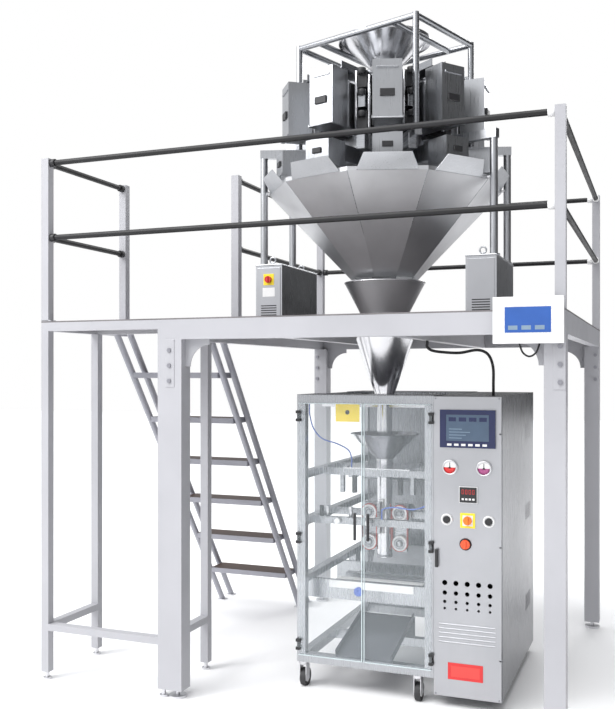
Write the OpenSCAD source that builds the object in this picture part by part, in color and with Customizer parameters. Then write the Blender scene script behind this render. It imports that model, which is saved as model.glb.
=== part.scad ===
// Vertical form fill sealer on casters, with its control cabinet, standing under a
// work platform that carries a ten-head weigher and is reached by a stair.
// Platform corner: x to the right along the front, y to the back, z up.

/* [Platform] */
// Width of the main deck
main_w = 2150; // [1900:10:2700]
// Depth of the main deck
main_d = 2400; // [2250:10:3000]
// Height of the deck surface
deck_z = 2110; // [2000:10:2600]
// Side of a main post
post_w = 100; // [80:5:120]
// Height of the main beams
beam_h = 110; // [80:5:160]
// Thickness of the deck plate
deck_t = 8; // [4:1:12]
// Height of the levelling feet
foot_h = 45; // [30:5:80]

/* [Landing and stair] */
// Width of the landing beside the main deck
landing_w = 840; // [780:10:1100]
// Depth of the landing deck
landing_d = 550; // [480:10:700]
// Depth of the railed opening beside the landing
opening_d = 870; // [800:10:1100]
// Side of the landing tubes
tube_w = 50; // [40:5:60]
// Number of stair treads
treads = 6; // [5:1:8]
// Horizontal run of the stair
stair_run = 1500; // [1200:10:1600]
// Front to back size of a tread
tread_d = 200; // [150:5:240]

/* [Rails] */
// Height of the top rail above the deck
rail_h = 950; // [900:10:1100]
// Diameter of the rail tubes
rail_d = 32; // [25:1:40]
// Side of the rail posts
rail_post = 50; // [40:5:60]

/* [Bagger] */
// Width of the bagger frame
bag_w = 800; // [760:10:900]
// Depth of the bagger frame and the cabinet
bag_d = 1226; // [1150:10:1300]
// Height of the bagger frame and the cabinet
bag_h = 1680; // [1660:10:1800]
// Width of the control cabinet
cab_w = 366; // [330:2:420]
// Side of the bagger frame tubes
frame_t = 50; // [40:5:60]
// Outside diameter of the forming tube
tube_d = 90; // [60:2:110]
// Wall of the forming tube
tube_t = 2; // [1.5:0.5:4]
// Length of the sealing jaws
jaw_l = 540; // [420:10:580]
// Opening stroke of each sealing jaw
jaw_stroke = 55; // [40:5:60]
// Diameter of the film roll
roll_d = 300; // [200:10:340]
// Diameter of a caster wheel
wheel_d = 100; // [80:5:110]

/* [Weigher] */
// Radius of the circle that the feed hoppers stand on
hopper_r = 545; // [520:5:560]
// Width of a hopper
hopper_w = 160; // [120:5:170]
// Radius of the weigher body
body_r = 285; // [240:5:300]
// Distance from the weigher axis to each side of the collecting chute rim
chute_r = 660; // [655:1:665]

/* [Hidden] */
$fn = 48;
heads = 10;
panel_out = 72;
main_x = (landing_w - main_w) / 2;
front_y = -(main_d - panel_out) / 2;
beam_top = deck_z - deck_t;
beam_bot = beam_top - beam_h;
beam_t = 60;
fit = 0.3;

// stair
riser = deck_z / (treads + 1);
stair_y0 = landing_d;
stair_left = -landing_w + 130;
stair_right = -45;
string_d = 42;
string_top = deck_z - deck_t - tube_w;

// bagger
bag_x = 615;
bag_y = 430;
cab_x = bag_x + bag_w;
axis_x = bag_x + bag_w / 2 - 5;
axis_y = bag_y + 430;
base_z = 150;
door_z0 = 190;
door_z1 = bag_h - 45;
door_t = 8;
door_gap = 3;
hinge_y = bag_y - 12;
hinge_zs = [252, 862, 1560];
tube_z0 = 700;
tube_z1 = 1640;
collar_z0 = 1250;
collar_z1 = 1460;
belt_z0 = 740;
belt_z1 = 1010;
pulley_d = 90;
belt_t = 5;
belt_w = 30;
pulley_x = tube_d / 2 + belt_t + pulley_d / 2 + fit;
jaw_z = 500;
jaw_h = 70;
jaw_t = 60;
guide_d = 30;
guide_x = jaw_l / 2 - 45;
film_y = bag_y + bag_d - 260;
film_z = 520;
wheel_t = 32;
caster_x = 70;
caster_y = 90;
trail = 30;

// weigher
pitch = 360 / heads;
feed_z0 = 3175;
feed_z1 = 3490;
weigh_z0 = 2950;
weigh_z1 = 3090;
arm_z0 = 3105;
arm_z1 = 3155;
top_z = 3770;
leg_r = 730;
leg_d = 44;
mast_r = 515;
mast_d = 36;
leg_angles = [18, 162, 198, 342];
mast_angles = [18, 126, 198, 306];
ped_h = 345;
ped_x = 635;
chute_z1 = 2905;
chute_z0 = 2370;
funnel_z1 = 2350;
feed_depth = 140;
weigh_depth = 150;
weigh_r = 575;
pan_in = 192;
pan_l = hopper_r - feed_depth / 2 + 20 - pan_in;
facet = cos(180 / heads);

// ---- helpers, in platform coordinates ----
module site() translate([main_x, front_y, 0]) children();
module bar(p, s) translate(p) cube(s);
module rod_x(p, d, l) translate(p) rotate([0, 90, 0]) cylinder(d = d, h = l);
module rod_y(p, d, l) translate(p) rotate([-90, 0, 0]) cylinder(d = d, h = l);
module rod_z(p, d, l) translate(p) cylinder(d = d, h = l);
module at_axis() translate([axis_x, axis_y, 0]) children();
module around(angles, r) for (a = angles) rotate([0, 0, a]) translate([r, 0, 0]) children();
module tube_between(p, q, d) {
  v = q - p;
  translate(p) rotate([0, 0, atan2(v[1], v[0])]) rotate([0, atan2(norm([v[0], v[1]]), v[2]), 0])
    cylinder(d = d, h = norm(v));
}
module plate_hole(w, d, t, r) difference() {
  translate([-w / 2, -d / 2, 0]) cube([w, d, t]);
  translate([0, 0, -1]) cylinder(r = r, h = t + 2);
}

// ---- platform ----
post_xy = [[0, 0], [main_w - post_w, 0], [0, main_d - post_w], [main_w - post_w, main_d - post_w]];
landing_xy = [[-landing_w, 0], [-tube_w, 0], [-landing_w, landing_d - tube_w], [-tube_w, landing_d - tube_w]];
brace_z = 290;
brace_h = 40;
landing_top = beam_top - tube_w;

module platform_posts() {
  color("lavender") site() for (p = post_xy) bar([p[0], p[1], foot_h], [post_w, post_w, beam_bot - foot_h]);
}

module gusset(s = 150, r = 120) {
  rotate([90, 0, 0]) translate([0, 0, -4]) linear_extrude(8) difference() {
    translate([0, -s]) square(s);
    translate([s, -s]) circle(r = r);
    translate([s - 20, -s - 1]) square([30, s - r + 20]);
  }
}

joist_xs = [axis_x - 330, axis_x + 270, main_w - 330];
panel_x = 1985;
panel_z = 2055;
pin_y = -18;
ear_x = 44;

module platform_beams() {
  color("lavender") site() {
    for (y = [0, main_d - beam_t]) bar([0, y, beam_bot], [main_w, beam_t, beam_h]);
    for (x = [0, main_w - beam_t]) bar([x, beam_t, beam_bot], [beam_t, main_d - 2 * beam_t, beam_h]);
    for (x = joist_xs) bar([x, beam_t, beam_bot], [beam_t, main_d - 2 * beam_t, beam_h]);
    for (y = [post_w / 2, main_d - post_w / 2]) {
      translate([post_w, y, beam_bot]) gusset();
      translate([main_w - post_w, y, beam_bot]) mirror([1, 0, 0]) gusset();
    }
    for (x = [-ear_x - 4, ear_x - 4]) bar([panel_x + x, -28, panel_z - 20], [8, 28, 40]);
    rod_x([panel_x - ear_x, pin_y, panel_z], 10, 2 * ear_x);
  }
}

module deck_plate() {
  color("dimgray") site() difference() {
    union() {
      bar([0, 0, beam_top], [main_w, main_d, deck_t]);
      bar([-landing_w, 0, beam_top], [landing_w, landing_d, deck_t]);
      bar([-landing_w, landing_d, beam_top], [tube_w, opening_d - landing_d, deck_t]);
    }
    translate([axis_x, axis_y, beam_top - 1]) cylinder(d = neck_d + 12, h = deck_t + 2);
  }
}
neck_d = 230;

module foot(p, w) translate(p) {
  cylinder(d = w, h = 12);
  cylinder(d = 24, h = foot_h);
}

module levelling_feet() {
  color("silver") site() {
    for (p = post_xy) foot([p[0] + post_w / 2, p[1] + post_w / 2, 0], post_w);
    for (p = landing_xy) foot([p[0] + tube_w / 2, p[1] + tube_w / 2, 0], tube_w);
  }
}

module landing_frame() {
  color("lavender") site() {
    for (p = landing_xy) bar([p[0], p[1], foot_h], [tube_w, tube_w, landing_top - foot_h]);
    for (y = [0, landing_d - tube_w]) bar([-landing_w, y, landing_top], [landing_w, tube_w, tube_w]);
    bar([-landing_w, tube_w, landing_top], [tube_w, opening_d - tube_w, tube_w]);
    bar([-tube_w, tube_w, landing_top], [tube_w, landing_d - 2 * tube_w, tube_w]);
    bar([-landing_w + tube_w, 0, brace_z], [landing_w - 2 * tube_w, tube_w, brace_h]);
    for (x = [-landing_w, -tube_w])
      bar([x, tube_w, brace_z], [tube_w, landing_d - 2 * tube_w, brace_h]);
  }
}

module hex_bolt(d, h) rotate([90, 0, 0]) cylinder(d = d, h = h, $fn = 6);

module frame_bolts() {
  color("gray") site() {
    for (x = [post_w / 4, main_w - post_w / 4])
      for (z = [60, 145, 230]) {
        translate([x, 0, beam_bot - z]) hex_bolt(26, 10);
        translate([x, main_d - post_w, beam_bot - z]) hex_bolt(26, 10);
      }
  }
}

rail_zs = [deck_z + rail_h - rail_d / 2, deck_z + 0.52 * rail_h];
rp = rail_post;
rail_xy = [[-landing_w, 0], [main_w - rp, 0], [main_w - rp, main_d - rp], [0, main_d - rp],
  [0, opening_d - rp], [-landing_w, opening_d - rp]];
rail_runs = [[0, 1], [1, 2], [2, 3], [3, 4], [0, 5]];

module rails(d) {
  for (run = rail_runs)
    for (z = rail_zs) {
      a = rail_xy[run[0]] + [rp / 2, rp / 2];
      b = rail_xy[run[1]] + [rp / 2, rp / 2];
      tube_between([a[0], a[1], z], [b[0], b[1], z], d);
    }
}

module guard_rails() color("black") site() rails(rail_d);

module rail_posts() {
  color("lavender") site() difference() {
    for (p = rail_xy) bar([p[0], p[1], deck_z], [rp, rp, rail_h + 10]);
    rails(rail_d + 0.2);
  }
}

// how far back the front string's axis is at height z
function string_y(z) = stair_y0 + 20 + (string_top + 40 - z) * stair_run / string_top;

module stair_strings() {
  color("gainsboro") site() intersection() {
    for (x = [stair_left, stair_right])
      for (dy = [0, tread_d - 40])
        tube_between([x, string_y(deck_z + 100) + dy, deck_z + 100], [x, string_y(-100) + dy, -100], string_d);
    bar([-landing_w, stair_y0, 0], [landing_w, stair_run * 1.4 + tread_d, beam_top]);
  }
}

module stair_treads() {
  color("saddlebrown") site() for (k = [1:treads]) {
    bar([stair_left + string_d / 2, string_y(riser * k) - 20, riser * k - 36],
      [stair_right - stair_left - string_d, tread_d, 36]);
  }
}

// ---- bagger ----
caster_xy = [[bag_x + 30, bag_y + 25], [cab_x - 95, bag_y + 25],
  [bag_x + 30, bag_y + bag_d - 25], [cab_x - 95, bag_y + bag_d - 25]];
side_zs = [600, 930, 1200];
side_h = 40;
stem_d = 20;
axle_d = 12;
arm_y = axis_y - tube_d / 2 - 3 - 30;
sealer_z = 950;
belt_bar_y = axis_y + 50;
journal_d = 30;
dancer_y = film_y - 20;
dancer_z = 1150;
dancer_d = 20;
rear_guide_y = axis_y + 250;
front_guide_y = axis_y - 250;

module bagger_frame() {
  color("silver") site() difference() {
    union() {
      for (x = [bag_x, cab_x - frame_t])
        for (y = [bag_y, bag_y + bag_d - frame_t])
          bar([x, y, base_z], [frame_t, frame_t, bag_h - base_z]);
      for (z = [base_z, bag_h - frame_t]) {
        for (y = [bag_y, bag_y + bag_d - frame_t]) bar([bag_x, y, z], [bag_w, frame_t, frame_t]);
        for (x = [bag_x, cab_x - frame_t]) bar([x, bag_y, z], [frame_t, bag_d, frame_t]);
      }
      for (z = side_zs)
        for (x = [bag_x, cab_x - frame_t]) bar([x, bag_y, z], [frame_t, bag_d, side_h]);
      bar([bag_x, bag_y + 130, side_zs[1]], [bag_w, side_h, side_h]);
      bar([bag_x, belt_bar_y, side_zs[1]], [bag_w, side_h, side_h]);
      for (y = [axis_y - 170, axis_y + 130]) bar([bag_x, y, side_zs[2]], [bag_w, side_h, side_h]);
      for (y = [front_guide_y - 30, rear_guide_y]) bar([bag_x, y, side_zs[0] - 110], [bag_w, 30, 110]);
      bar([bag_x, axis_y + 80, base_z], [bag_w, frame_t, frame_t]);
      for (x = [bag_x, cab_x - frame_t]) {
        bar([x, film_y - 50, film_z - 50], [frame_t, 100, side_zs[0] - film_z + 50]);
        bar([x, dancer_y - 40, dancer_z - 40], [frame_t, 80, side_zs[2] - dancer_z + 40]);
      }
    }
    for (p = caster_xy) rod_z([p[0], p[1], base_z - 1], stem_d + 0.1, 36);
    rod_y([axis_x, bag_y + 129, sealer_z], 16.1, side_h + 2);
    rod_x([bag_x - 1, film_y, film_z], journal_d + 0.1, bag_w + 2);
    rod_x([bag_x - 1, dancer_y, dancer_z], dancer_d + 0.1, bag_w + 2);
  }
}

cover_t = 3;
module bagger_covers() {
  color("gainsboro") site() {
    bar([bag_x + frame_t + 1, bag_y + bag_d - frame_t + 20, base_z + frame_t], [bag_w - 2 * frame_t - 2, cover_t,
      bag_h - base_z - 2 * frame_t]);
    bar([bag_x, bag_y, bag_h], [bag_w, 300, cover_t]);
    bar([bag_x, bag_y + bag_d - 350, bag_h], [bag_w, 350, cover_t]);
  }
}

leaf_w = axis_x + 5 - bag_x - 14;
module door_leaf() {
  difference() {
    translate([0, -door_t, door_z0]) cube([leaf_w - 2, door_t, door_z1 - door_z0]);
    for (z = hinge_zs) translate([-1, -door_t - 1, z - 32]) cube([18, door_t + 2, 64]);
  }
  for (z = hinge_zs) {
    difference() {
      union() {
        translate([0, -12, z - 15]) cylinder(d = 16, h = 30);
        translate([0, -20, z - 15]) cube([34, 8 - fit, 30]);
        translate([18, -13, z - 15]) cube([16, 9, 30]);
      }
      translate([0, -12, z - 16]) cylinder(d = 8.1, h = 32);
    }
  }
  translate([leaf_w - 40, -door_t - 22, 880]) cube([12, 22, 12]);
  translate([leaf_w - 40, -door_t - 22, 1008]) cube([12, 22, 12]);
  translate([leaf_w - 40, -door_t - 34, 880]) cube([12, 12, 140]);
}

module door_left() color("lightcyan", 0.4) site() translate([bag_x + 12, bag_y - door_gap, 0]) door_leaf();
module door_right() {
  color("lightcyan", 0.4) site() translate([cab_x - 12, bag_y - door_gap, 0]) mirror([1, 0, 0]) door_leaf();
}

module hinge_set() for (z = hinge_zs) {
  difference() {
    translate([-12, -20, z - 31]) cube([24, 20 + door_gap, 62]);
    translate([-13, -21.5, z - 15.3]) cube([40, 21.5, 30.6]);
  }
  translate([0, -12, z - 31]) cylinder(d = 8, h = 62);
}

module door_hinges() {
  color("black") site() {
    translate([bag_x + 12, bag_y - door_gap, 0]) hinge_set();
    translate([cab_x - 12, bag_y - door_gap, 0]) mirror([1, 0, 0]) hinge_set();
  }
}

module caster_fork(i) {
  p = caster_xy[i];
  color("silver") site() translate([p[0], p[1], 0]) {
    translate([0, 0, base_z - 12]) cylinder(d = 56, h = 12 - fit);
    translate([0, 0, base_z - 6]) cylinder(d = stem_d, h = 38);
    for (x = [-wheel_t / 2 - 5, wheel_t / 2 + 1])
      difference() {
        translate([x, -12, wheel_d / 2 - 12]) cube([4, trail + 24, base_z - 12 - wheel_d / 2 + 12]);
        translate([x - 1, trail + 12, wheel_d / 2 + 12]) cube([6, 30, 80]);
      }
    rod_x([-wheel_t / 2 - 7, trail, wheel_d / 2], axle_d, wheel_t + 14);
  }
}

module caster_wheel(i) {
  p = caster_xy[i];
  color("black") site() translate([p[0], p[1] + trail, wheel_d / 2]) difference() {
    rod_x([-wheel_t / 2, 0, 0], wheel_d, wheel_t);
    rod_x([-wheel_t / 2 - 1, 0, 0], axle_d + 0.1, wheel_t + 2);
    for (s = [-1, 1]) rod_x([s > 0 ? wheel_t / 2 - 5 : -wheel_t / 2 - 1, 0, 0], wheel_d * 0.6, 6);
  }
}

module forming_tube() {
  color("silver") site() difference() {
    union() {
      rod_z([axis_x, axis_y, tube_z0], tube_d, tube_z1 - tube_z0);
      bar([bag_x, axis_y - 25, bag_h - frame_t - 30], [bag_w, 50, 30]);
      translate([axis_x, axis_y, tube_z1]) cylinder(d1 = tube_d, d2 = 360, h = 390);
    }
    rod_z([axis_x, axis_y, tube_z0 - 1], tube_d - 2 * tube_t, tube_z1 - tube_z0 + 2);
    translate([axis_x, axis_y, tube_z1]) cylinder(d1 = tube_d - 2 * tube_t, d2 = 360 - 2 * tube_t, h = 390.01);
  }
}

collar_r = tube_d / 2 + 2;
module forming_collar() {
  color("gainsboro") site() at_axis() {
    translate([0, 0, side_zs[2] + side_h]) plate_hole(400, 340, 6, collar_r);
    difference() {
      translate([0, 0, collar_z0]) rotate_extrude() polygon([[collar_r, 0], [collar_r + 3, 0],
        [collar_r + 3, 40], [208, 190], [205, 193], [collar_r, 43]]);
      translate([-300, -300, collar_z0 + 170]) rotate([24, 0, 0]) cube([600, 600, 300]);
    }
    rotate_extrude() translate([collar_r, side_zs[2] + side_h + 6]) square([3, collar_z0 - side_zs[2] - side_h - 6]);
  }
}

// a belt loop standing in the x-z plane around two pulleys
module loop_2d(r, l) {
  for (y = [0, l]) translate([0, y]) circle(r = r);
  translate([-r, 0]) square([2 * r, l]);
}

belt_span = belt_z1 - belt_z0 - pulley_d;
belt_c0 = belt_z0 + pulley_d / 2;
module pull_belts() {
  color("firebrick") site() at_axis() for (s = [-1, 1])
    translate([s * pulley_x, belt_w / 2, belt_c0]) rotate([90, 0, 0]) linear_extrude(belt_w) difference() {
      loop_2d(pulley_d / 2 + belt_t, belt_span);
      loop_2d(pulley_d / 2 + fit, belt_span);
    }
}

module belt_drives() {
  color("silver") site() at_axis() for (s = [-1, 1]) {
    y0 = belt_w / 2 + 5;
    translate([s * pulley_x - 38, y0, belt_z0 - 10])
      cube([76, belt_bar_y - axis_y - y0, belt_z1 - belt_z0 + 20]);
    for (z = [belt_c0, belt_c0 + belt_span]) rod_y([s * pulley_x, -belt_w / 2 - 3, z], 20, belt_w / 2 + 3 + y0);
    for (z = [belt_c0, belt_c0 + belt_span]) rod_y([s * pulley_x, -belt_w / 2 - 6, z], 28, 3);
  }
}

module pulley(i) {
  s = i < 2 ? -1 : 1;
  z = belt_c0 + (i % 2) * belt_span;
  color("whitesmoke") site() at_axis() difference() {
    rod_y([s * pulley_x, -belt_w / 2 + 0.5, z], pulley_d, belt_w - 1);
    rod_y([s * pulley_x, -belt_w / 2 - 1, z], 20.1, belt_w + 2);
    for (a = [0:60:300])
      rod_y([s * pulley_x + 20 * cos(a), -belt_w / 2 - 1, z + 20 * sin(a)], 8, 6);
  }
}

module vertical_sealer() {
  color("whitesmoke") site() {
    bar([axis_x - 14, arm_y, sealer_z - 100], [28, 30, 200]);
    rod_y([axis_x, bag_y + 90, sealer_z], 16, arm_y - bag_y - 90);
    rod_y([axis_x, bag_y + 78, sealer_z], 24, 12);
  }
}

module jaw(s) {
  y = s < 0 ? -jaw_stroke - 1 - jaw_t : jaw_stroke + 1;
  color("gainsboro") site() at_axis() difference() {
    union() {
      translate([-jaw_l / 2, y, jaw_z]) cube([jaw_l, jaw_t, jaw_h]);
      translate([-jaw_l / 2 + 90, s < 0 ? y - 25 : y + jaw_t, jaw_z + 12]) cube([jaw_l - 180, 25, jaw_h - 24]);
    }
    for (x = [-guide_x, guide_x]) rod_y([x, y - 30, jaw_z + jaw_h / 2], guide_d + 0.1, jaw_t + 60);
  }
}
module front_jaw() jaw(-1);
module rear_jaw() jaw(1);

module jaw_guides() {
  color("silver") site() at_axis() for (x = [-guide_x, guide_x])
    rod_y([x, front_guide_y - axis_y, jaw_z + jaw_h / 2], guide_d, rear_guide_y - front_guide_y);
}

module film_roll() {
  color("white") site() {
    rod_x([bag_x + 4, film_y, film_z], journal_d, bag_w - 8);
    rod_x([axis_x - 200, film_y, film_z], roll_d, 400);
    for (x = [axis_x - 215, axis_x + 201]) rod_x([x, film_y, film_z], 80, 14);
  }
}

module dancer_arm() {
  color("silver") site() {
    rod_x([bag_x + 4, dancer_y, dancer_z], dancer_d, bag_w - 8);
    for (x = [axis_x - 230, axis_x + 220]) difference() {
      bar([x, dancer_y - 265, dancer_z - 15], [10, 290, 30]);
      rod_x([x - 1, dancer_y, dancer_z], dancer_d, 12);
    }
    rod_x([axis_x - 220, dancer_y - 240, dancer_z], 40, 440);
  }
}

chute_w = 330;
module output_chute() {
  color("dimgray") site() {
    translate([axis_x - chute_w / 2, bag_y + 14, base_z + frame_t]) rotate([14, 0, 0]) {
      cube([chute_w, 500, 6]);
      for (x = [0, chute_w - 4]) cube_at([x, 0, 0], [4, 500, 40]);
    }
    bar([axis_x - chute_w / 2, axis_y + 82, base_z + frame_t], [chute_w, 6, 129]);
  }
}
module cube_at(p, s) translate(p) cube(s);

// ---- control cabinet ----
cab_z0 = 60;
wall = 3;
door_d = 22;
cab_y = bag_y + door_d + 1;
panel_y = bag_y;
cab_door_w = cab_w - 3;

module cabinet_body() {
  color("gainsboro") site() {
    difference() {
      bar([cab_x, cab_y, cab_z0], [cab_w, bag_d - door_d - 1, bag_h - cab_z0]);
      bar([cab_x + wall, cab_y - 1, cab_z0 + wall], [cab_w - 2 * wall, bag_d - door_d - wall, bag_h - cab_z0 - 2 * wall]);
    }
    bar([cab_x + 30, cab_y + 600, cab_z0 + wall], [cab_w - 60, 3, bag_h - cab_z0 - 2 * wall]);
    for (z = [300, 900, 1500]) rod_z([cab_x + cab_w - 5, cab_y - 13, z - 20], 8, 40);
    for (z = [300, 900, 1500])
      bar([cab_x + cab_w - 9, cab_y - 13, z - 20], [8, 13, 5.5]);
  }
}

button_r = 17;
screen = [37, 1405, 298, 203];
gauge_x = [91, 274];
gauge_z = 1298;
counter_at = [190, 1154];
button_x = [73, 299];
button_z = 1016;
knob_at = [186, 1016];
switch_at = [174, 888];
vent_rows = [[674, 14], [620, 12], [572, 9], [536, 7]];

module cabinet_door() {
  color("whitesmoke") site() difference() {
    union() {
      bar([cab_x + 1, panel_y, cab_z0 + 2], [cab_door_w, door_d - 2, bag_h - cab_z0 - 4]);
      bar([cab_x + 12, panel_y - 16, 760], [14, 16, 90]);
      for (k = [0:4]) rod_x([cab_x + 30, panel_y, 355 + 24 * k], 10, cab_door_w - 60);
    }
    for (z = [300, 900, 1500]) {
      rod_z([cab_x + cab_w - 5, cab_y - 13, z - 22], 8.1, 44);
      bar([cab_x + cab_w - 12, panel_y - 1, z - 22], [20, door_d + 2, 8]);
    }
    for (row = vent_rows)
      for (i = [0:4]) rod_y([cab_x + 61 + 61 * i, panel_y - 1, row[0]], 2 * row[1], door_d + 2);
    for (x = button_x) rod_y([cab_x + x, panel_y - 1, button_z], 24.1, door_d + 2);
    rod_y([cab_x + knob_at[0], panel_y - 1, knob_at[1]], 14.1, door_d + 2);
    rod_y([cab_x + switch_at[0], panel_y - 1, switch_at[1]], 14.1, door_d + 2);
  }
}

module operator_screen() {
  color("midnightblue") site() difference() {
    bar([cab_x + screen[0], panel_y - 14, screen[1]], [screen[2], 14, screen[3]]);
    bar([cab_x + screen[0] + 32, panel_y - 15, screen[1] + 34], [screen[2] - 64, 3, screen[3] - 58]);
  }
}

module instruments() {
  color("white") site() {
    for (x = gauge_x) rod_y([cab_x + x, panel_y - 12, gauge_z], 82, 12);
    bar([cab_x + counter_at[0] - 49, panel_y - 10, counter_at[1] - 44], [98, 10, 88]);
    for (x = button_x) difference() {
      rod_y([cab_x + x, panel_y - 5, button_z], 64, 5);
      rod_y([cab_x + x, panel_y - 6, button_z], 40, 8);
    }
    difference() {
      bar([cab_x + knob_at[0] - 40, panel_y - 4, knob_at[1] - 40], [80, 4, 80]);
      rod_y([cab_x + knob_at[0], panel_y - 5, knob_at[1]], 20, 8);
    }
  }
}

module push_button(i) {
  color("black") site() {
    rod_y([cab_x + button_x[i], panel_y - 16, button_z], 36, 11);
    rod_y([cab_x + button_x[i], panel_y - 6, button_z], 24, 24);
  }
}

module turn_knob(at, d, proud) {
  site() {
    rod_y([cab_x + at[0], panel_y - proud, at[1]], d, proud - 5);
    bar([cab_x + at[0] - 5, panel_y - proud - 8, at[1] - d / 2 + 3], [10, 9, d - 6]);
    rod_y([cab_x + at[0], panel_y - 6, at[1]], 14, 26);
  }
}
module selector_knob() color("darkorange") turn_knob(knob_at, 46, 16);
module main_switch() color("orangered") turn_knob(switch_at, 50, 16);

// ---- weigher ----
module arm_bar(a, l) rotate([0, 0, a]) translate([0, -20, arm_z0]) cube([l, 40, arm_z1 - arm_z0]);

module weigher_stand() {
  color("gainsboro") site() at_axis() {
    for (s = [-1, 1]) {
      translate([s * ped_x - 85, -290, deck_z]) cube([170, 580, ped_h]);
      for (y = [-230, 230]) translate([s * ped_x, y, deck_z + ped_h]) eye_bolt();
    }
    around(leg_angles, leg_r) rod_z([0, 0, deck_z + ped_h], leg_d, arm_z0 - deck_z - ped_h);
    difference() {
      union() {
        for (a = leg_angles) arm_bar(a, leg_r + leg_d / 2);
        for (a = mast_angles) arm_bar(a, mast_r + mast_d);
      }
      rod_z([0, 0, arm_z0 - 1], 2 * body_r + 0.2, arm_z1 - arm_z0 + 2);
    }
  }
}

module eye_bolt() {
  cylinder(d = 16, h = 14);
  translate([0, 0, 32]) rotate([90, 0, 0]) rotate_extrude() translate([18, 0]) circle(r = 5);
}

module weigher_body() {
  color("silver") site() at_axis() {
    rod_z([0, 0, weigh_z0 + 20], 2 * body_r, feed_z1 + 20 - weigh_z0 - 20);
    rod_z([0, 0, feed_z1 + 20], 340, 25);
    translate([0, 0, feed_z1 + 45]) cylinder(d1 = 360, d2 = 60, h = 80);
  }
}

module top_bar(a, b) tube_between([mast_r * cos(a), mast_r * sin(a), top_z], [mast_r * cos(b), mast_r * sin(b), top_z],
  mast_d - 2);

cross_x = 262;
module weigher_top_frame() {
  color("gainsboro") site() at_axis() {
    around(mast_angles, mast_r) rod_z([0, 0, arm_z1], mast_d, top_z + 15 - arm_z1);
    top_bar(18, 126);
    top_bar(126, 198);
    top_bar(198, 306);
    top_bar(306, 18);
    rotate([0, 0, -18]) for (x = [-cross_x, cross_x])
      translate([x, 0, 0]) tube_between([0, -mast_r * sin(36), top_z], [0, mast_r * sin(36), top_z], mast_d - 2);
  }
}

module infeed_funnel() {
  color("silver") site() at_axis() translate([0, 0, top_z + mast_d / 2 - 0.7]) {
    rotate_extrude() polygon([[90, -145], [92, -145], [257, 15], [275, 15], [275, 0], [277, 0], [277, 17],
      [256, 17], [90, -143]]);
  }
}

module feeder_pans() {
  color("silver") site() at_axis() for (k = [0:heads - 1]) rotate([0, 0, pitch * k])
    difference() {
      translate([pan_in, -50, feed_z1 + 20]) cube([pan_l, 100, 40]);
      translate([pan_in + 3, -47, feed_z1 + 23]) cube([pan_l, 94, 50]);
    }
}

module hopper(r, depth, z0, z1, w) translate([r, 0, 0]) difference() {
  union() {
    translate([-depth / 2, -w / 2, z0]) cube([depth, w, z1 - z0]);
    translate([-r + body_r + 0.3, -20, z0 + (z1 - z0) * 0.4]) cube([r - body_r - depth / 2, 40, 30]);
  }
  translate([-depth / 2 + 3, -w / 2 + 3, z0 - 1]) cube([depth - 6, w - 6, z1 - z0 + 2]);
}

module gate_plate(r, depth, z, w) {
  translate([r - depth / 2, -w / 2 + 2, z - 3.6]) cube([depth, w - 4, 3]);
  translate([r + depth / 2 + 5, -w / 2 + 2, z]) rotate([-90, 0, 0]) difference() {
    union() {
      cylinder(d = 9, h = w - 4);
      translate([-6, 0.6, 0]) cube([6, 3, w - 4]);
    }
    translate([0, 0, -1]) cylinder(d = 5.1, h = w);
  }
}
module gate_pin(r, depth, z, w) {
  translate([r + depth / 2 + 5, -w / 2 - 6, z]) rotate([-90, 0, 0]) cylinder(d = 5, h = w + 12);
  for (y = [-w / 2 - 6, w / 2]) translate([r + depth / 2 - 14, y, z - 4]) cube([22, 6, 14]);
}

front_head = 288;
head_angles = [for (k = [0:heads - 1]) pitch * k];

module hopper_set(r, depth, z0, z1) {
  at_axis() for (a = head_angles) rotate([0, 0, a]) {
    hopper(r, depth, z0, z1, hopper_w);
    gate_pin(r, depth, z0, hopper_w);
    if (a != front_head) gate_plate(r, depth, z0, hopper_w);
  }
}
module feed_hoppers() color("gainsboro") site() hopper_set(hopper_r, feed_depth, feed_z0, feed_z1);
module weigh_hoppers() color("gainsboro") site() hopper_set(weigh_r, weigh_depth, weigh_z0, weigh_z1);
module front_gate(r, depth, z) site() at_axis() rotate([0, 0, front_head]) gate_plate(r, depth, z, hopper_w);
module feed_gate() color("silver") front_gate(hopper_r, feed_depth, feed_z0);
module weigh_gate() color("silver") front_gate(weigh_r, weigh_depth, weigh_z0);

module collecting_chute() {
  color("silver") site() at_axis() difference() {
    union() {
      rotate([0, 0, pitch / 2]) rotate_extrude($fn = heads) polygon([[190 / facet, chute_z0],
        [chute_r / facet, chute_z1 - 20], [chute_r / facet, chute_z1], [chute_r / facet + 3, chute_z1],
        [chute_r / facet + 3, chute_z1 - 22], [190 / facet + 3, chute_z0 - 2]]);
      for (a = leg_angles) rotate([0, 0, a]) translate([chute_r / facet + 1, -15, chute_z1 - 18])
        cube([leg_r - chute_r / facet, 30, 10]);
      rotate_extrude() polygon([[neck_d / 2, deck_z - 90], [neck_d / 2, deck_z], [240, funnel_z1],
        [243, funnel_z1 - 2], [neck_d / 2 + 3, deck_z - 2], [neck_d / 2 + 3, deck_z - 90]]);
      rod_z([0, 0, deck_z], 340, 5);
    }
    around(leg_angles, leg_r) rod_z([0, 0, deck_z], leg_d + 0.4, 900);
    rod_z([0, 0, deck_z - 1], neck_d, 10);
  }
}

module weigher_knob() {
  color("firebrick") site() at_axis() translate([-ped_x, -290, deck_z + ped_h - 90]) {
    rod_y([0, -22, 0], 40, 22 - fit);
    translate([-4, -30, -16]) cube([8, 9, 32]);
  }
}

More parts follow.
